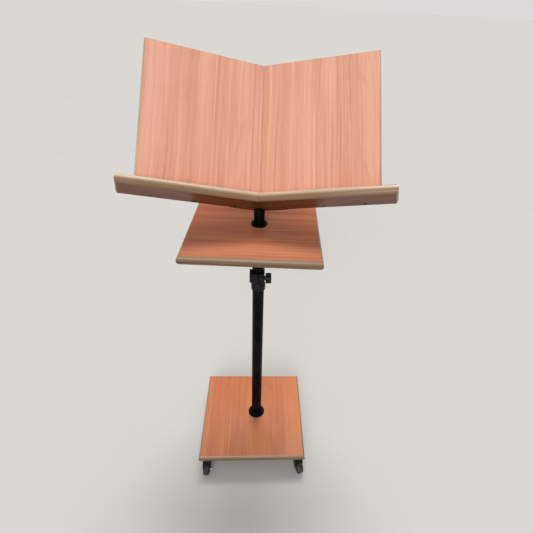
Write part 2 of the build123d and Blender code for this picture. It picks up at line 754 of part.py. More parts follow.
# ---------------------------------------------------------------- cradle panels and ledges
for side in (-1, 1):
    name = side_name[side]
    bracket_spots = bracket_screw_spots(side)
    ledge_spots = ledge_screw_spots(side)

    with BuildPart() as panel:
        with BuildSketch(wing_section(side, 0)):
            with BuildLine():
                Polyline(
                    (-side * board_thickness, 0),
                    (side * panel_width, 0),
                    (side * panel_width, board_thickness),
                    (-side * board_thickness, board_thickness),
                    close=True,
                )
            make_face()
        extrude(amount=panel_height)
        split(bisect_by=wing_cut(side), keep=own_half(side))
        with Locations(*bracket_spots):
            add(bracket_screw_hole, mode=Mode.SUBTRACT)
        with Locations(*ledge_spots):
            add(ledge_screw_hole, mode=Mode.SUBTRACT)
    panel.part.label = f"panel_{name}"
    export_step(panel.part, f"parts/panel_{name}.step")

    back_plane = wing_face(side, -board_thickness)
    outer_side = side * panel_width
    outer_reach = side * (panel_width + edging_reach)
    top_reach = panel_height + edging_reach
    outer_strip = edging_strip(
        back_plane,
        (outer_side, 0),
        (outer_side, panel_height - mitre_gap),
        (outer_reach, 0),
        (outer_reach, top_reach - mitre_gap),
    )
    top_strip = edging_strip(
        back_plane,
        (-side * board_thickness, panel_height),
        (outer_side, panel_height),
        (-side * board_thickness, top_reach),
        (outer_reach, top_reach),
    )
    with BuildPart() as panel_edging:
        add([outer_strip, top_strip])
        split(bisect_by=wing_cut(side), keep=own_half(side))
    panel_edging.part.label = f"panel_edging_{name}"
    export_step(panel_edging.part, f"parts/panel_edging_{name}.step")

    with BuildPart() as ledge:
        with BuildSketch(wing_section(side, -board_thickness)):
            with BuildLine():
                Polyline(
                    (-side * board_thickness, -ledge_depth),
                    (side * ledge_half_length, -ledge_depth),
                    (side * ledge_half_length, board_thickness),
                    (-side * board_thickness, board_thickness),
                    close=True,
                )
            make_face()
        extrude(amount=board_thickness)
        split(bisect_by=wing_cut(side), keep=own_half(side))
        with Locations(*ledge_spots):
            add(ledge_screw_hole, mode=Mode.SUBTRACT)
    ledge.part.label = f"ledge_{name}"
    export_step(ledge.part, f"parts/ledge_{name}.step")

    under_plane = wing_section(side, -board_thickness)
    lip = ledge_depth + edging_reach
    ledge_outer = ledge_half_length + edging_reach
    front_strip = edging_strip(
        under_plane,
        (-side * board_thickness, -ledge_depth),
        (side * (ledge_half_length - mitre_gap), -ledge_depth),
        (-side * board_thickness, -lip),
        (side * (ledge_outer - mitre_gap), -lip),
    )
    end_strip = edging_strip(
        under_plane,
        (side * ledge_half_length, -ledge_depth),
        (side * ledge_half_length, board_thickness),
        (side * ledge_outer, -lip),
        (side * ledge_outer, board_thickness),
    )
    with BuildPart() as ledge_edging:
        add([front_strip, end_strip])
        split(bisect_by=wing_cut(side), keep=own_half(side))
    ledge_edging.part.label = f"ledge_edging_{name}"
    export_step(ledge_edging.part, f"parts/ledge_edging_{name}.step")

both_bracket_spots = bracket_screw_spots(-1) + bracket_screw_spots(1)
with BuildPart() as bracket_screws:
    with Locations(*both_bracket_spots):
        add(bracket_screw)
bracket_screws.part.label = "bracket_screws"
export_step(bracket_screws.part, "parts/bracket_screws.step")

with BuildPart() as ledge_screws:
    with Locations(*ledge_screw_spots(-1), *ledge_screw_spots(1)):
        add(ledge_screw)
ledge_screws.part.label = "ledge_screws"
export_step(ledge_screws.part, "parts/ledge_screws.step")

# ---------------------------------------------------------------- head bracket


def bracket_leaf(side):
    """Steel leaf on the back of one panel, cut on the cradle's middle plane."""
    with BuildPart() as leaf:
        with BuildSketch(wing_section(side, -board_thickness)):
            with BuildLine():
                Polyline(
                    (-side * leaf_width, board_thickness),
                    (side * leaf_width, board_thickness),
                    (side * leaf_width, board_thickness + leaf_thickness),
                    (-side * leaf_width, board_thickness + leaf_thickness),
                    close=True,
                )
            make_face()
        extrude(amount=leaf_height + board_thickness)
        split(bisect_by=middle_plane, keep=own_half(side))
    return leaf.part


def wooden_corner(side):
    """Space taken by one wing's panel and ledge, on its own side of the middle plane."""
    room = 2 * leaf_width
    with BuildPart() as corner:
        with BuildSketch(wing_section(side, -board_thickness)):
            with BuildLine():
                Polyline(
                    (-side * room, -room),
                    (side * room, -room),
                    (side * room, board_thickness),
                    (-side * room, board_thickness),
                    close=True,
                )
            make_face()
        extrude(amount=leaf_height)
        split(bisect_by=middle_plane, keep=own_half(side))
    return corner.part


def behind_ridge(up, depth):
    """Point on the cradle's middle plane, as distances back and up from the mast's axis at the valley."""
    return (up * sin(lean) + depth * cos(lean), up * cos(lean) - depth * sin(lean))


ridge_depth = (board_thickness + leaf_thickness / 2) / cos(wing)
neck_to_valley = upper_tube_top - valley_z
leaves = [bracket_leaf(1), bracket_leaf(-1)]
wooden_corners = [wooden_corner(1), wooden_corner(-1)]
with BuildPart() as head_bracket:
    add(leaves)
    with BuildSketch(cradle_plane.offset(neck_to_valley)):
        Circle(upper_tube_radius)
    extrude(amount=2 * upper_tube_radius)
    with BuildSketch(middle_plane.offset(-gusset_thickness / 2)):
        with BuildLine():
            Polyline(
                (0, neck_to_valley + weld_overlap),
                (upper_tube_radius, neck_to_valley + weld_overlap),
                behind_ridge(gusset_rise, ridge_depth),
                behind_ridge(0, ridge_depth),
                close=True,
            )
        make_face()
    extrude(amount=gusset_thickness)
    add(wooden_corners, mode=Mode.SUBTRACT)
    with BuildSketch(cradle_plane.offset(neck_to_valley)):
        Circle(upper_tube_bore)
    extrude(amount=-spigot_length)
    with Locations(*both_bracket_spots):
        add(bracket_screw_hole, mode=Mode.SUBTRACT)
head_bracket.part.label = "head_bracket"
export_step(head_bracket.part, "parts/head_bracket.step")

# ---------------------------------------------------------------- casters
axle_drop = base_underside - wheel_radius
arm_gap = wheel_width / 2 + arm_clearance
arm_outer = arm_gap + fork_sheet
hub_radius = wheel_radius - tread_thickness
boss_half_width = arm_gap - sliding_gap
axle_bolt = hex_bolt(axle_radius, 2 * arm_outer + axle_past_fork)
axle_nut = hex_nut(axle_radius)


def caster_pose(spot, swing):
    """Plane of one caster: origin on its king pin under the board, local -Y towards its trailing wheel."""
    turn = radians(swing)
    return Plane(origin=(*spot, base_underside), x_dir=(cos(turn), sin(turn), 0), z_dir=(0, 0, 1))


def axle_plane(pose):
    """Plane on the wheel's axle, its local Z along the axle."""
    centre = pose.from_local_coords(Vector(0, -caster_trail, -axle_drop))
    return Plane(origin=centre, x_dir=pose.y_dir, z_dir=pose.x_dir)


for corner, spot in caster_spots.items():
    pose = caster_pose(spot, caster_swing[corner])
    level = Plane(origin=(*spot, base_underside))
    axle = axle_plane(pose)

    with BuildPart() as caster_plate:
        with BuildSketch(level):
            RectangleRounded(caster_plate_size, caster_plate_size, plate_corner)
        extrude(amount=-plate_thickness)
        with BuildSketch(level):
            Circle(cup_radius)
        extrude(amount=-cup_depth)
        with BuildSketch(level):
            Circle(cup_radius - cup_floor)
        extrude(amount=cup_floor - cup_depth, mode=Mode.SUBTRACT)
        with BuildSketch(level):
            Circle(king_pin_radius)
        extrude(amount=-cup_depth, mode=Mode.SUBTRACT)
        with Locations(*caster_screw_spots):
            add(caster_screw_hole, mode=Mode.SUBTRACT)
    caster_plate.part.label = f"caster_plate_{corner}"
    export_step(caster_plate.part, f"parts/caster_plate_{corner}.step")

    with BuildPart() as caster_fork:
        with BuildSketch(pose.offset(crown_top)):
            Circle(crown_radius)
            with Locations((0, -caster_trail / 2)):
                Rectangle(2 * arm_outer, caster_trail)
        extrude(amount=-fork_sheet)
        for arm_side in (-1, 1):
            arm_plane = axle.offset(arm_side * (arm_gap + fork_sheet / 2) - fork_sheet / 2)
            with BuildSketch(arm_plane):
                Circle(3 * axle_radius)
                with Locations((caster_trail / 2, axle_drop + crown_top - fork_sheet / 2)):
                    Rectangle(caster_trail, fork_sheet)
                make_hull()
                Circle(axle_radius, mode=Mode.SUBTRACT)
            extrude(amount=fork_sheet)
        with BuildSketch(pose.offset(crown_top)):
            Circle(king_pin_radius + running_clearance)
        extrude(amount=-fork_sheet, mode=Mode.SUBTRACT)
    caster_fork.part.label = f"caster_fork_{corner}"
    export_step(caster_fork.part, f"parts/caster_fork_{corner}.step")

    with BuildPart() as caster_axle:
        with Locations(axle.offset(-arm_outer).location):
            add(axle_bolt)
        with Locations(axle.offset(arm_outer).location):
            add(axle_nut)
    caster_axle.part.label = f"caster_axle_{corner}"
    export_step(caster_axle.part, f"parts/caster_axle_{corner}.step")

    with BuildPart() as caster_wheel:
        with BuildSketch(axle.offset(-wheel_width / 2)):
            Circle(hub_radius)
        extrude(amount=wheel_width)
        for face_side in (-1, 1):
            with BuildSketch(axle.offset(face_side * wheel_width / 2)):
                Circle(hub_radius - hub_rim)
                Circle(boss_radius, mode=Mode.SUBTRACT)
            extrude(amount=-face_side * hub_recess, mode=Mode.SUBTRACT)
        with BuildSketch(axle.offset(-boss_half_width)):
            Circle(boss_radius)
        extrude(amount=2 * boss_half_width)
        with BuildSketch(axle.offset(-boss_half_width)):
            Circle(axle_radius + running_clearance)
        extrude(amount=2 * boss_half_width, mode=Mode.SUBTRACT)
    caster_wheel.part.label = f"caster_wheel_{corner}"
    export_step(caster_wheel.part, f"parts/caster_wheel_{corner}.step")

    with BuildPart() as caster_tyre:
        with BuildSketch(axle.offset(-wheel_width / 2)):
            Circle(wheel_radius)
            Circle(hub_radius, mode=Mode.SUBTRACT)
        extrude(amount=wheel_width)
        tread_rims = caster_tyre.edges().filter_by(GeomType.CIRCLE).group_by(SortBy.RADIUS)[-1]
        fillet(tread_rims, tread_round)
    caster_tyre.part.label = f"caster_tyre_{corner}"
    export_step(caster_tyre.part, f"parts/caster_tyre_{corner}.step")

pin_head_seat = cup_floor - cup_depth
pin_foot_seat = crown_bottom - sliding_gap
with BuildPart() as king_pins:
    for spot in caster_spots.values():
        level = Plane(origin=(*spot, base_underside))
        with BuildSketch(level.offset(pin_head_seat)):
            Circle(pin_head_radius)
        extrude(amount=pin_head_thickness)
        with BuildSketch(level.offset(pin_head_seat)):
            Circle(king_pin_radius)
        extrude(amount=pin_foot_seat - pin_head_seat)
        with BuildSketch(level.offset(pin_foot_seat)):
            Circle(pin_foot_radius)
        extrude(amount=-pin_head_thickness)
king_pins.part.label = "king_pins"
export_step(king_pins.part, "parts/king_pins.step")

with BuildPart() as caster_screws:
    with Locations(*caster_screw_spots):
        add(caster_screw)
caster_screws.part.label = "caster_screws"
export_step(caster_screws.part, "parts/caster_screws.step")
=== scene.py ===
import json
import math

import bpy
from mathutils import Matrix, Vector


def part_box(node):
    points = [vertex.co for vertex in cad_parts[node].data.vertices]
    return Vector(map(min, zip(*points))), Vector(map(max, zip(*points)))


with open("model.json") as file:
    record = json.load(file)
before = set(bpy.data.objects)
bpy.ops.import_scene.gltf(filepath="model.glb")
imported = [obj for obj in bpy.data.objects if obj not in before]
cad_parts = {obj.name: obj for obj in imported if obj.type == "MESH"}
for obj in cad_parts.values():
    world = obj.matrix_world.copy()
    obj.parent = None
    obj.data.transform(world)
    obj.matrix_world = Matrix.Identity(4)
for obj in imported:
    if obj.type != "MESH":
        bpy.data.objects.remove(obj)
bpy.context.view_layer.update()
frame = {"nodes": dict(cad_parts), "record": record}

# Photo album stand: materials, camera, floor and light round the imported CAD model.
# Metres, +Z up, floor at Z = 0. The reader stands on the -Y side.

nodes = frame["nodes"]
record = frame["record"]
mounts = {mount["name"]: mount for mount in record["mounts"]}
SIDES = ("left", "right")
RIGHT = Vector((1, 0, 0))
BACK = Vector((0, 1, 0))
UP = Vector((0, 0, 1))

# ------------------------------------------------------------------ places read from the frame


def middle(node):
    low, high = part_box(node)
    return (low + high) / 2


def half_width(node, direction):
    """Half of a node's extent along a direction."""
    reach = [vertex.co.dot(direction) for vertex in nodes[node].data.vertices]
    return (max(reach) - min(reach)) / 2


def mount_axis(name):
    return Vector(mounts[name]["axis"]).normalized()


def shelf_backward():
    """The shelf is turned a little about the mast, so its backward direction is that of its right edge."""
    points = [vertex.co for vertex in nodes["shelf_board"].data.vertices]
    front_right = min(points, key=lambda point: point.y)
    rear_right = max(points, key=lambda point: point.x)
    run = rear_right - front_right
    run.z = 0
    return run.normalized()


mast = middle("lower_tube")
base_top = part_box("base_board")[1].z
shelf_back = shelf_backward()
shelf_right = shelf_back.cross(UP)
panel_facing = {side: mount_axis(f"{side}_panel_face") for side in SIDES}
spine = panel_facing["right"].cross(panel_facing["left"]).normalized()
wing_right = {side: spine.cross(panel_facing[side]) for side in SIDES}

# ------------------------------------------------------------------ camera at the photograph's view
CAMERA_BACK = 1.1404  # from the mast's axis towards the reader
CAMERA_ABOVE_BASE = 1.4348  # from the base board's upper face
CAMERA_PITCH = math.radians(33.98)  # down from level
CAMERA_PAN = math.radians(4.55)  # to the right
CAMERA_ROLL = math.radians(-3.43)
LENS = 28.43  # mm, as is the sensor
SENSOR = 36.0
SHIFT_X = -0.0368  # shares of the picture's width
SHIFT_Y = 0.0232


def link(thing):
    bpy.context.scene.collection.objects.link(thing)


def add_camera():
    data = bpy.data.cameras.new("camera")
    data.lens = LENS
    data.sensor_width = SENSOR
    data.shift_x = SHIFT_X
    data.shift_y = SHIFT_Y
    camera = bpy.data.objects.new("camera", data)
    link(camera)
    forward = Vector((
        math.sin(CAMERA_PAN) * math.cos(CAMERA_PITCH),
        math.cos(CAMERA_PAN) * math.cos(CAMERA_PITCH),
        -math.sin(CAMERA_PITCH),
    ))
    level_right = Vector((math.cos(CAMERA_PAN), -math.sin(CAMERA_PAN), 0))
    level_down = forward.cross(level_right)
    right = level_right * math.cos(CAMERA_ROLL) + level_down * math.sin(CAMERA_ROLL)
    down = level_down * math.cos(CAMERA_ROLL) - level_right * math.sin(CAMERA_ROLL)
    turn = Matrix((right, -down, -forward)).transposed()
    place = Vector((mast.x, mast.y - CAMERA_BACK, base_top + CAMERA_ABOVE_BASE))
    camera.matrix_world = Matrix.Translation(place) @ turn.to_4x4()
    bpy.context.scene.camera = camera


# ------------------------------------------------------------------ shader helpers
DISPLAY_WHITE = 255

# Sockets of the Mix node, which has its float and colour ones under the same names.
MIX_FACTOR = 0
MIX_FLOAT_A = 2
MIX_FLOAT_B = 3
MIX_COLOUR_A = 6
MIX_COLOUR_B = 7
MIX_FLOAT_RESULT = 0
MIX_COLOUR_RESULT = 2


def tone(red, green, blue):
    """Linear colour of a display colour given on the 0 to 255 scale, by the sRGB curve."""
    linear = []
    for channel in (red, green, blue):
        share = channel / DISPLAY_WHITE
        linear.append(share / 12.92 if share <= 0.04045 else ((share + 0.055) / 1.055) ** 2.4)
    return (*linear, 1.0)


class Graph:
    """Short calls that add shader nodes to one new material."""

    def __init__(self, name):
        self.material = bpy.data.materials.new(name)
        self.material.use_nodes = True
        self.tree = self.material.node_tree
        self.shader = self.tree.nodes["Principled BSDF"]

    def put(self, socket, value):
        if isinstance(value, bpy.types.NodeSocket):
            self.tree.links.new(value, socket)
        else:
            socket.default_value = value

    def node(self, kind, inputs, output=0, **settings):
        made = self.tree.nodes.new(kind)
        for key, value in settings.items():
            setattr(made, key, value)
        for key, value in inputs.items():
            self.put(made.inputs[key], value)
        return made.outputs[output]

    def set(self, **values):
        """Inputs of the Principled shader, with _ for the spaces in their names."""
        for key, value in values.items():
            self.put(self.shader.inputs[key.replace("_", " ")], value)

    def point(self):
        return self.node("ShaderNodeTexCoord", {}, output="Object")

    def geometry(self, output):
        return self.node("ShaderNodeNewGeometry", {}, output=output)

    def math(self, operation, first, second=0.0, third=0.0):
        return self.node("ShaderNodeMath", {0: first, 1: second, 2: third}, operation=operation)

    def dot(self, first, second):
        inputs = {0: first, 1: second}
        return self.node("ShaderNodeVectorMath", inputs, output="Value", operation="DOT_PRODUCT")

    def along(self, point, origin, direction):
        """Distance of the point from the origin along a direction."""
        shifted = self.node("ShaderNodeVectorMath", {0: point, 1: origin}, operation="SUBTRACT")
        return self.dot(shifted, direction)

    def scaled(self, distances, scales):
        """Vector of three distances, each multiplied by its own scale."""
        parts = [self.math("MULTIPLY", part, scale) for part, scale in zip(distances, scales)]
        return self.node("ShaderNodeCombineXYZ", dict(enumerate(parts)))

    def noise(self, vector, scale, detail, roughness=0.5):
        inputs = {"Vector": vector, "Scale": scale, "Detail": detail, "Roughness": roughness}
        return self.node("ShaderNodeTexNoise", inputs, output="Fac")

    def window(self, value, span, result=(0.0, 1.0)):
        """Value mapped from the span to the result, smooth and clamped."""
        inputs = {
            "Value": value,
            "From Min": span[0],
            "From Max": span[1],
            "To Min": result[0],
            "To Max": result[1],
        }
        return self.node("ShaderNodeMapRange", inputs, interpolation_type="SMOOTHSTEP")

    def mix(self, factor, first, second, blend="MIX"):
        inputs = {MIX_FACTOR: factor, MIX_COLOUR_A: first, MIX_COLOUR_B: second}
        return self.node(
            "ShaderNodeMix", inputs, output=MIX_COLOUR_RESULT, data_type="RGBA", blend_type=blend
        )

    def shaded(self, colour, shade):
        return self.mix(1.0, colour, shade, blend="MULTIPLY")

    def layer(self, value, shown, under, over):
        """One colour laid over another. shown has the form of the SHOWN values below."""
        start, full, strength = shown
        return self.mix(self.window(value, (start, full), (0.0, strength)), under, over)

    def choose(self, condition, when_true, when_false):
        inputs = {MIX_FACTOR: condition, MIX_FLOAT_A: when_false, MIX_FLOAT_B: when_true}
        return self.node("ShaderNodeMix", inputs, output=MIX_FLOAT_RESULT, data_type="FLOAT")

    def bump(self, height, depth, strength):
        """Surface normal for relief of a depth in metres."""
        inputs = {"Height": height, "Distance": depth, "Strength": strength}
        return self.node("ShaderNodeBump", inputs, output="Normal")


# The numbers of the materials below come in these forms.
# Pattern: scales per metre along the grain, across it and through the board, then detail and roughness.
# Noise: scale per metre, detail and, unless it's 0.5, roughness.
# SHOWN: the noise's value where a layer starts, its value where the layer is full, and the layer's strength.
# SPAN: the two values between which something changes.
# RELIEF: depth in metres and strength.

# ------------------------------------------------------------------ wood laminate
WARP = ((2.2, 5.0, 5.0), 2.0, 0.5)
BANDS = ((0.8, 17.0, 8.0), 3.0, 0.55)
BRIGHT_STREAKS = ((0.9, 92.0, 12.0), 4.0, 0.72)
DARK_STREAKS = ((1.6, 165.0, 20.0), 4.0, 0.68)
FIBRES = ((11.0, 620.0, 60.0), 3.0, 0.6)
PORES = ((42.0, 2100.0, 90.0), 1.0, 0.5)
ARCH_BREAKS = ((6.0, 24.0, 24.0), 3.0, 0.5)
MOTTLE = ((9.0, 13.0, 13.0), 4.0, 0.5)

BANDS_SHOWN = (0.34, 0.66, 1.0)
BRIGHT_SHOWN = (0.53, 0.68, 0.8)
DARK_SHOWN = (0.50, 0.30, 0.8)
FIBRES_SHOWN = (0.50, 0.27, 0.5)
PORES_SHOWN = (0.37, 0.27, 0.6)

WANDER = 0.024  # how far the figure strays across the grain
ARCH_BEND = 950.0  # how soon the arches curve away from their middle
ARCHES_PER_METRE = 6.0
ARCH_UNEVENNESS = 3.0
ARCH_LINE_SPAN = (0.28, 0.5)
ARCH_REACH_SPAN = (0.0, 0.003)  # square of the distance from the arches' middle
ARCH_BREAKS_SPAN = (0.35, 0.65)
ARCH_STRENGTH = 0.34

DARKER_WOOD = (0.80, 0.70, 0.62, 1.0)
# Painted shade: a darker colour on the faces that look down, standing in for the shadow under the boards and
# ledges.
UNDERSIDE_PAINTED_SHADE = (0.21, 0.15, 0.11, 1.0)
PAINTED_SHADE_FROM = 0.7  # cosine between the backing's direction and the faces that get the painted shade
MOTTLE_SPAN = (0.30, 0.72)
LAMINATE_ROUGHNESS = (0.34, 0.47)
LAMINATE_RELIEF = (0.00005, 0.5)
PORE_RELIEF_SHARE = 0.5


def laminate(name, origin, grain, across, tones, figure, painted_shade_side=None):
    """Cherry-patterned satin laminate.

    grain is the way its fibres run. figure gives where its pattern starts along the grain, and where its
    arches lie across it. backing is the direction of the faces that get painted shade, darker as if in
    shadow.
    """
    light, deep, bright = tones
    start, arch = figure
    graph = Graph(name)
    point = graph.point()
    u = graph.math("ADD", graph.along(point, origin, grain), start)
    v = graph.along(point, origin, across)
    w = graph.along(point, origin, grain.cross(across))

    def pattern(recipe, sideways):
        scales, detail, roughness = recipe
        return graph.noise(graph.scaled((u, sideways, w), scales), 1.0, detail, roughness)

    warp = graph.math("SUBTRACT", pattern(WARP, v), 0.5)
    bent = graph.math("MULTIPLY_ADD", warp, WANDER, v)
    fibres = pattern(FIBRES, bent)
    pores = pattern(PORES, bent)

    offset = graph.math("SUBTRACT", bent, arch)
    square = graph.math("MULTIPLY", offset, offset)
    phase = graph.math("MULTIPLY_ADD", square, ARCH_BEND, graph.math("MULTIPLY", u, ARCHES_PER_METRE))
    phase = graph.math("MULTIPLY_ADD", warp, ARCH_UNEVENNESS, phase)
    arches = graph.window(graph.math("PINGPONG", phase, 0.5), ARCH_LINE_SPAN)
    arches = graph.math("MULTIPLY", arches, graph.window(square, ARCH_REACH_SPAN, (1.0, 0.0)))
    arches = graph.math("MULTIPLY", arches, graph.window(pattern(ARCH_BREAKS, v), ARCH_BREAKS_SPAN))

    colour = graph.layer(pattern(BANDS, bent), BANDS_SHOWN, light, deep)
    colour = graph.layer(pattern(BRIGHT_STREAKS, bent), BRIGHT_SHOWN, colour, bright)
    darker = graph.shaded(colour, DARKER_WOOD)
    colour = graph.layer(pattern(DARK_STREAKS, bent), DARK_SHOWN, colour, darker)
    colour = graph.mix(graph.math("MULTIPLY", arches, ARCH_STRENGTH), colour, darker)
    colour = graph.layer(fibres, FIBRES_SHOWN, colour, darker)
    colour = graph.layer(pores, PORES_SHOWN, colour, darker)
    # Painted shade: faces that look along backing get a darker colour, as if in shadow.
    if painted_shade_side is not None:
        facing = graph.dot(graph.geometry("True Normal"), painted_shade_side)
        underside_in_painted_shade = graph.shaded(colour, UNDERSIDE_PAINTED_SHADE)
        colour = graph.mix(graph.math("GREATER_THAN", facing, PAINTED_SHADE_FROM), colour, underside_in_painted_shade)
    height = graph.math("MULTIPLY_ADD", pores, PORE_RELIEF_SHARE, fibres)
    graph.set(
        Base_Color=colour,
        Roughness=graph.window(pattern(MOTTLE, v), MOTTLE_SPAN, LAMINATE_ROUGHNESS),
        Specular_IOR_Level=0.16,
        Coat_Weight=0.05,
        Coat_Roughness=0.25,
        Normal=graph.bump(height, *LAMINATE_RELIEF),
    )
    return graph.material


# ------------------------------------------------------------------ wooden edging
EDGING_LINES = ((6.0, 420.0, 420.0), 3.0, 0.6)
EDGING_CLOUDS = ((3.0, 40.0, 40.0), 2.0, 0.5)
EDGING_PORES = ((60.0, 1900.0, 1900.0), 1.0, 0.5)
EDGING_LINES_SHOWN = (0.55, 0.32, 0.6)
EDGING_PORES_SHOWN = (0.38, 0.28, 0.5)
EDGING_CLOUDS_SPAN = (0.3, 0.7)

EDGING_LIGHT = tone(214, 190, 166)
EDGING_DEEP = tone(198, 170, 144)
EDGING_LINE_TONE = tone(146, 115, 88)
EDGING_PORE_TONE = tone(128, 98, 74)
EDGING_PAINTED_SHADE = (0.40, 0.33, 0.27, 1.0)  # painted shade on the moulding's outer side
EDGING_PAINTED_DEEP_SHADE = (0.20, 0.16, 0.12, 1.0)  # deeper painted shade on the side away from the upper face
DEEP_SHADE_FULL = -0.8  # this and the next are counted from the cosine where the painted light starts
DEEP_SHADE_END = -0.1
RUNS_APART = 1.7  # keeps the two runs from showing the same grain
EDGING_ROUGHNESS = (0.30, 0.42)
EDGING_RELIEF = (0.00006, 0.3)


def edging(name, origin, first, second, corner, start, painted_light_span):
    """Pale lacquered moulding of two runs, one along each direction, that meet on a mitre.

    corner gives the wood's corner, as its distance along first and along second. The upper face that the
    moulding borders looks along first cross second. The moulding gets painted light where it turns that way,
    and painted shade elsewhere, deepest on the side away from that face. pale gives the cosine of the angle
    to that direction where the painted light starts, and where it's full.
    """
    upward = first.cross(second)
    graph = Graph(name)
    point = graph.point()
    a = graph.along(point, origin, first)
    b = graph.along(point, origin, second)
    beyond_a = graph.math("SUBTRACT", graph.math("ABSOLUTE", a), corner[0])
    beyond_b = graph.math("SUBTRACT", graph.math("ABSOLUTE", b), corner[1])
    along_first = graph.math("GREATER_THAN", beyond_b, beyond_a)
    u = graph.choose(along_first, a, b)
    v = graph.choose(along_first, b, a)
    u = graph.math("ADD", u, graph.math("MULTIPLY_ADD", along_first, RUNS_APART, start))
    w = graph.along(point, origin, upward)

    def pattern(recipe):
        scales, detail, roughness = recipe
        return graph.noise(graph.scaled((u, v, w), scales), 1.0, detail, roughness)

    lines = pattern(EDGING_LINES)
    clouds = pattern(EDGING_CLOUDS)
    lacquered = graph.mix(graph.window(clouds, EDGING_CLOUDS_SPAN), EDGING_LIGHT, EDGING_DEEP)
    rise = graph.dot(graph.geometry("Normal"), upward)
    # Painted light where the moulding turns to the upper face; painted shade on its outer side, deeper away
    # from that face.
    outer_painted_shade = graph.shaded(lacquered, EDGING_PAINTED_SHADE)
    low = graph.shaded(lacquered, EDGING_PAINTED_DEEP_SHADE)
    colour = graph.mix(graph.window(rise, (painted_light_span[0] + DEEP_SHADE_FULL, painted_light_span[0] + DEEP_SHADE_END)), low, outer_painted_shade)
    colour = graph.mix(graph.window(rise, painted_light_span), colour, lacquered)
    colour = graph.layer(lines, EDGING_LINES_SHOWN, colour, EDGING_LINE_TONE)
    colour = graph.layer(pattern(EDGING_PORES), EDGING_PORES_SHOWN, colour, EDGING_PORE_TONE)
    graph.set(
        Base_Color=colour,
        Roughness=graph.window(clouds, EDGING_CLOUDS_SPAN, EDGING_ROUGHNESS),
        Specular_IOR_Level=0.30,
        Coat_Weight=0.12,
        Coat_Roughness=0.18,
        Normal=graph.bump(lines, *EDGING_RELIEF),
    )
    return graph.material


# ------------------------------------------------------------------ painted steel
ORANGE_PEEL = (380.0, 1.0)
ENAMEL_CLOUDS = (22.0, 5.0, 0.6)
SCUFFS = (140.0, 4.0, 0.65)
WORN_EDGE_SPAN = (0.58, 0.68)  # pointiness
SCUFFS_SPAN = (0.45, 0.62)
DUST_SHOWN = (0.40, 0.75, 0.25)
DUST_TONE = tone(48, 47, 46)
BARE_STEEL_TONE = tone(150, 150, 152)
BARE_STEEL_METALLIC = 0.9
ENAMEL_CLOUDS_SPAN = (0.30, 0.72)
ENAMEL_SMOOTHER = 0.06
ENAMEL_ROUGHER = 0.12
ORANGE_PEEL_RELIEF = (0.00001, 0.4)


def painted_steel(name, colour, roughness, wear):
    """Satin enamel with slight orange peel and patches of dust. wear says how far its edges are bare."""
    graph = Graph(name)
    point = graph.point()
    peel = graph.noise(point, *ORANGE_PEEL)
    clouds = graph.noise(point, *ENAMEL_CLOUDS)
    scuffs = graph.noise(point, *SCUFFS)
    edge = graph.window(graph.geometry("Pointiness"), WORN_EDGE_SPAN)
    rubbed = graph.math("MULTIPLY", edge, graph.window(scuffs, SCUFFS_SPAN, (0.0, wear)))
    dusty = graph.layer(clouds, DUST_SHOWN, colour, DUST_TONE)
    roughnesses = (roughness - ENAMEL_SMOOTHER, roughness + ENAMEL_ROUGHER)
    graph.set(
        Base_Color=graph.mix(rubbed, dusty, BARE_STEEL_TONE),
        Metallic=graph.math("MULTIPLY", rubbed, BARE_STEEL_METALLIC),
        Specular_IOR_Level=0.05,
        Roughness=graph.window(clouds, ENAMEL_CLOUDS_SPAN, roughnesses),
        Normal=graph.bump(peel, *ORANGE_PEEL_RELIEF),
    )
    return graph.material


# ------------------------------------------------------------------ moulded plastic
TEXTURE_DETAIL = 3.0
TEXTURE_ROUGHNESS = 0.6
TEXTURE_STRENGTH = 0.6
PLASTIC_CLOUDS = (45.0, 4.0)
PLASTIC_CLOUDS_SHOWN = (0.35, 0.75, 0.5)
HANDLED_SPAN = (0.52, 0.60)  # pointiness
HANDLED_STRENGTH = 0.5
HANDLED_SMOOTHER = 0.14
PALER_PLASTIC = (2.1, 2.1, 2.15, 1.0)


def moulded_plastic(name, colour, roughness, texture_scale, texture_depth):
    """Moulded plastic with a fine eroded texture and paler patches, and smoother, paler raised edges."""
    graph = Graph(name)
    point = graph.point()
    texture = graph.noise(point, texture_scale, TEXTURE_DETAIL, TEXTURE_ROUGHNESS)
    clouds = graph.noise(point, *PLASTIC_CLOUDS)
    handled = graph.window(graph.geometry("Pointiness"), HANDLED_SPAN)
    paler = graph.shaded(colour, PALER_PLASTIC)
    patchy = graph.layer(clouds, PLASTIC_CLOUDS_SHOWN, colour, paler)
    graph.set(
        Base_Color=graph.mix(graph.math("MULTIPLY", handled, HANDLED_STRENGTH), patchy, paler),
        Specular_IOR_Level=0.22,
        Roughness=graph.window(handled, (0.0, 1.0), (roughness, roughness - HANDLED_SMOOTHER)),
        Normal=graph.bump(texture, texture_depth, TEXTURE_STRENGTH),
    )
    return graph.material


# ------------------------------------------------------------------ plated steel
CRYSTALS_PER_METRE = 260.0
CRYSTALS_SHOWN = (0.2, 0.8, 0.3)
CRYSTAL_TONE = tone(228, 229, 226)
SCRATCH_SCALES = (90.0, 1400.0, 260.0)
SCRATCH_DETAIL = 2.0
SCRATCH_RELIEF = (0.00003, 0.4)
GRIME = (60.0, 5.0)
GRIME_SHOWN = (0.50, 0.78, 0.6)
GRIME_TONE = tone(92, 86, 78)
GRIME_SPAN = (0.30, 0.75)
GRIME_ROUGHER = 0.22


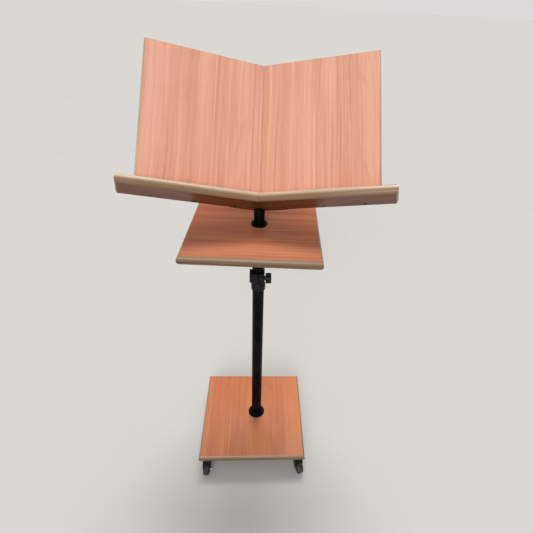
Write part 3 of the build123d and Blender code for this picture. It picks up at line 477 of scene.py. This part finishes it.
def plated_steel(name, colour, roughness):
    """Zinc plating: faint crystalline patches, fine scratches and patches of grime."""
    graph = Graph(name)
    point = graph.point()
    inputs = {"Vector": point, "Scale": CRYSTALS_PER_METRE}
    crystals = graph.node("ShaderNodeTexVoronoi", inputs, output="Color")
    crystal = graph.node("ShaderNodeRGBToBW", {"Color": crystals})
    stretched = graph.node("ShaderNodeMapping", {"Vector": point, "Scale": SCRATCH_SCALES})
    scratches = graph.noise(stretched, 1.0, SCRATCH_DETAIL)
    grime = graph.noise(point, *GRIME)
    bright = graph.layer(crystal, CRYSTALS_SHOWN, colour, CRYSTAL_TONE)
    graph.set(
        Base_Color=graph.layer(grime, GRIME_SHOWN, bright, GRIME_TONE),
        Metallic=1.0,
        Roughness=graph.window(grime, GRIME_SPAN, (roughness, roughness + GRIME_ROUGHER)),
        Normal=graph.bump(scratches, *SCRATCH_RELIEF),
    )
    return graph.material


# ------------------------------------------------------------------ rubber
RUBBER_TONE = tone(26, 26, 27)
RUBBER_GRAIN = (1500.0, 2.0)
RUBBER_RELIEF = (0.00008, 0.5)
FLOOR_DUST = (75.0, 5.0, 0.65)
FLOOR_DUST_SHOWN = (0.40, 0.78, 0.7)
FLOOR_DUST_TONE = tone(104, 99, 92)
FLOOR_DUST_SPAN = (0.3, 0.7)
RUBBER_ROUGHNESS = (0.62, 0.86)


def rubber_tread(name):
    """Dusty black rubber with a faint moulded grain."""
    graph = Graph(name)
    point = graph.point()
    grain = graph.noise(point, *RUBBER_GRAIN)
    dust = graph.noise(point, *FLOOR_DUST)
    graph.set(
        Base_Color=graph.layer(dust, FLOOR_DUST_SHOWN, RUBBER_TONE, FLOOR_DUST_TONE),
        Roughness=graph.window(dust, FLOOR_DUST_SPAN, RUBBER_ROUGHNESS),
        Normal=graph.bump(grain, *RUBBER_RELIEF),
    )
    return graph.material


# ------------------------------------------------------------------ materials onto the CAD nodes
# Laminate: its light, deep and bright tones, and where its pattern starts and its arches lie.
BASE_TONES = (tone(206, 128, 86), tone(190, 111, 71), tone(218, 146, 92))
SHELF_TONES = (tone(204, 130, 94), tone(186, 112, 76), tone(216, 148, 100))
# Painted light: the panels' tones are paler than the base's, standing in for the sheen and brighter light on
# their leaning faces.
PANEL_TONES_WITH_PAINTED_LIGHT = (tone(229, 171, 149), tone(216, 155, 131), tone(238, 190, 152))
LEDGE_TONES = (tone(218, 152, 124), tone(204, 138, 110), tone(226, 168, 128))
BASE_FIGURE = (3.1, 0.07)
SHELF_FIGURE = (5.3, -0.05)
PANEL_FIGURE = {"left": (7.7, 0.12), "right": (12.0, 0.12)}
LEDGE_FIGURE = {"left": (17.9, 0.01), "right": (18.9, 0.01)}

# Edging: where its grain starts, and the cosines between which painted light makes it paler.
BOARD_EDGING_START = 1.3
PANEL_EDGING_START = {"left": 2.3, "right": 3.3}
LEDGE_EDGING_START = {"left": 4.9, "right": 5.9}
BOARD_PAINTED_LIGHT = (0.62, 0.98)
PANEL_PAINTED_LIGHT = (-0.85, 0.30)
LEDGE_PAINTED_LIGHT = (-0.20, 0.50)


def finish_node(node, material):
    slots = nodes[node].data.materials
    if len(slots) == 0:
        slots.append(material)
    for index in range(len(slots)):
        slots[index] = material


def finish_board(board, right, back, grain, across, tones, figure):
    """A level board with painted shade on its underside, and its four strips of edging."""
    node = f"{board}_board"
    origin = middle(node)
    corner = (half_width(node, right), half_width(node, back))
    wood = laminate(f"{board}_laminate", origin, grain, across, tones, figure, painted_shade_side=-UP)
    bead = edging(f"{board}_bead", origin, right, back, corner, BOARD_EDGING_START, BOARD_PAINTED_LIGHT)
    finish_node(node, wood)
    finish_node(f"{board}_edging", bead)


def finish_panel(side):
    node = f"panel_{side}"
    origin = middle(node)
    right = wing_right[side]
    corner = (half_width(node, right), half_width(node, spine))
    wood = laminate(f"{node}_laminate", origin, spine, right, PANEL_TONES_WITH_PAINTED_LIGHT, PANEL_FIGURE[side])
    bead = edging(f"{node}_bead", origin, right, spine, corner, PANEL_EDGING_START[side], PANEL_PAINTED_LIGHT)
    finish_node(node, wood)
    finish_node(f"panel_edging_{side}", bead)


def finish_ledge(side):
    """A ledge with painted shade on its underside, and its edging."""
    node = f"ledge_{side}"
    origin = middle(node)
    right = wing_right[side]
    facing = panel_facing[side]
    figure = LEDGE_FIGURE[side]
    corner = (half_width(node, facing), half_width(node, right))
    wood = laminate(f"{node}_laminate", origin, right, facing, LEDGE_TONES, figure, painted_shade_side=-spine)
    bead = edging(f"{node}_bead", origin, facing, right, corner, LEDGE_EDGING_START[side], LEDGE_PAINTED_LIGHT)
    finish_node(node, wood)
    finish_node(f"ledge_edging_{side}", bead)


finish_board("base", RIGHT, BACK, BACK, RIGHT, BASE_TONES, BASE_FIGURE)
finish_board("shelf", shelf_right, shelf_back, shelf_right, shelf_back, SHELF_TONES, SHELF_FIGURE)
for side in SIDES:
    finish_panel(side)
    finish_ledge(side)

black_phosphate = painted_steel("black_phosphate", tone(30, 29, 28), 0.45, 0.0)
material_of_slot = {
    "black_enamel": painted_steel("black_enamel", tone(5, 5, 7), 0.36, 0.0),
    "black_plastic": moulded_plastic("black_plastic", tone(7, 7, 9), 0.50, 1300.0, 0.00003),
    "black_screws": black_phosphate,
    "caster_steel": painted_steel("caster_enamel", tone(34, 34, 36), 0.42, 0.8),
    "nylon": moulded_plastic("white_nylon", tone(222, 219, 206), 0.42, 900.0, 0.00003),
    "wheel_nylon": moulded_plastic("hub_plastic", tone(74, 74, 77), 0.46, 1100.0, 0.00006),
    "wheel_tread": rubber_tread("tread_rubber"),
    "zinc_steel": plated_steel("zinc_plating", tone(158, 160, 162), 0.32),
}
for part in record["subparts"]:
    if part["material_slot"] in material_of_slot:
        finish_node(part["node"], material_of_slot[part["material_slot"]])

# The clamp's bolt and washer are black in the photograph.
for node in ("clamp_bolt", "clamp_washer"):
    finish_node(node, black_phosphate)

# ------------------------------------------------------------------ floor and light
FLOOR_HALF = 80.0  # far enough to look endless
FLOOR_LIGHT = tone(203, 202, 200)
FLOOR_LIGHTER = tone(208, 207, 205)
FLOOR_CLOUDS = (3.0, 3.0)
FLOOR_ROUGHNESS = 0.8

SKY_COLOUR = (1.0, 0.985, 0.96, 1.0)
HORIZON_STRENGTH = 0.72
SKY_STRENGTH = 0.34
SKY_FROM = 0.32  # sine of the elevation from which the sky has its own strength

# The way to each sun, its spread in degrees, its strength and its colour.
SUNS = {
    "overhead": ((0.04, 0.42, 1.0), 26, 1.90, (1.0, 0.975, 0.94)),
    "front": ((-0.15, -1.00, 0.5), 30, 1.60, (1.0, 0.98, 0.96)),
}


def add_floor():
    corners = [(x * FLOOR_HALF, y * FLOOR_HALF, 0) for x, y in ((-1, -1), (1, -1), (1, 1), (-1, 1))]
    mesh = bpy.data.meshes.new("floor")
    mesh.from_pydata(corners, [], [(0, 1, 2, 3)])
    floor = bpy.data.objects.new("floor", mesh)
    link(floor)
    graph = Graph("floor_paint")
    clouds = graph.noise(graph.point(), *FLOOR_CLOUDS)
    graph.set(Base_Color=graph.mix(clouds, FLOOR_LIGHT, FLOOR_LIGHTER), Roughness=FLOOR_ROUGHNESS)
    mesh.materials.append(graph.material)


def add_sun(name, toward_light, spread, strength, colour):
    """Distant soft light, so that the floor is evenly lit far behind the stand."""
    data = bpy.data.lights.new(name, "SUN")
    data.angle = math.radians(spread)
    data.energy = strength
    data.color = colour
    light = bpy.data.objects.new(name, data)
    link(light)
    aim = -Vector(toward_light).normalized()
    light.matrix_world = aim.to_track_quat("-Z", "Y").to_matrix().to_4x4()


def add_world():
    """Sky that is brightest at the horizon."""
    world = bpy.data.worlds.new("studio")
    world.use_nodes = True
    tree = world.node_tree
    direction = tree.nodes.new("ShaderNodeTexCoord").outputs["Generated"]
    split = tree.nodes.new("ShaderNodeSeparateXYZ")
    tree.links.new(direction, split.inputs[0])
    strength = tree.nodes.new("ShaderNodeMapRange")
    strength.interpolation_type = "SMOOTHSTEP"
    strength.inputs["From Max"].default_value = SKY_FROM
    strength.inputs["To Min"].default_value = HORIZON_STRENGTH
    strength.inputs["To Max"].default_value = SKY_STRENGTH
    tree.links.new(split.outputs["Z"], strength.inputs["Value"])
    background = tree.nodes["Background"]
    background.inputs["Color"].default_value = SKY_COLOUR
    tree.links.new(strength.outputs[0], background.inputs["Strength"])
    bpy.context.scene.world = world


add_camera()
add_floor()
add_world()
for name, sun in SUNS.items():
    add_sun(name, *sun)
bpy.context.scene.view_settings.view_transform = "Standard"
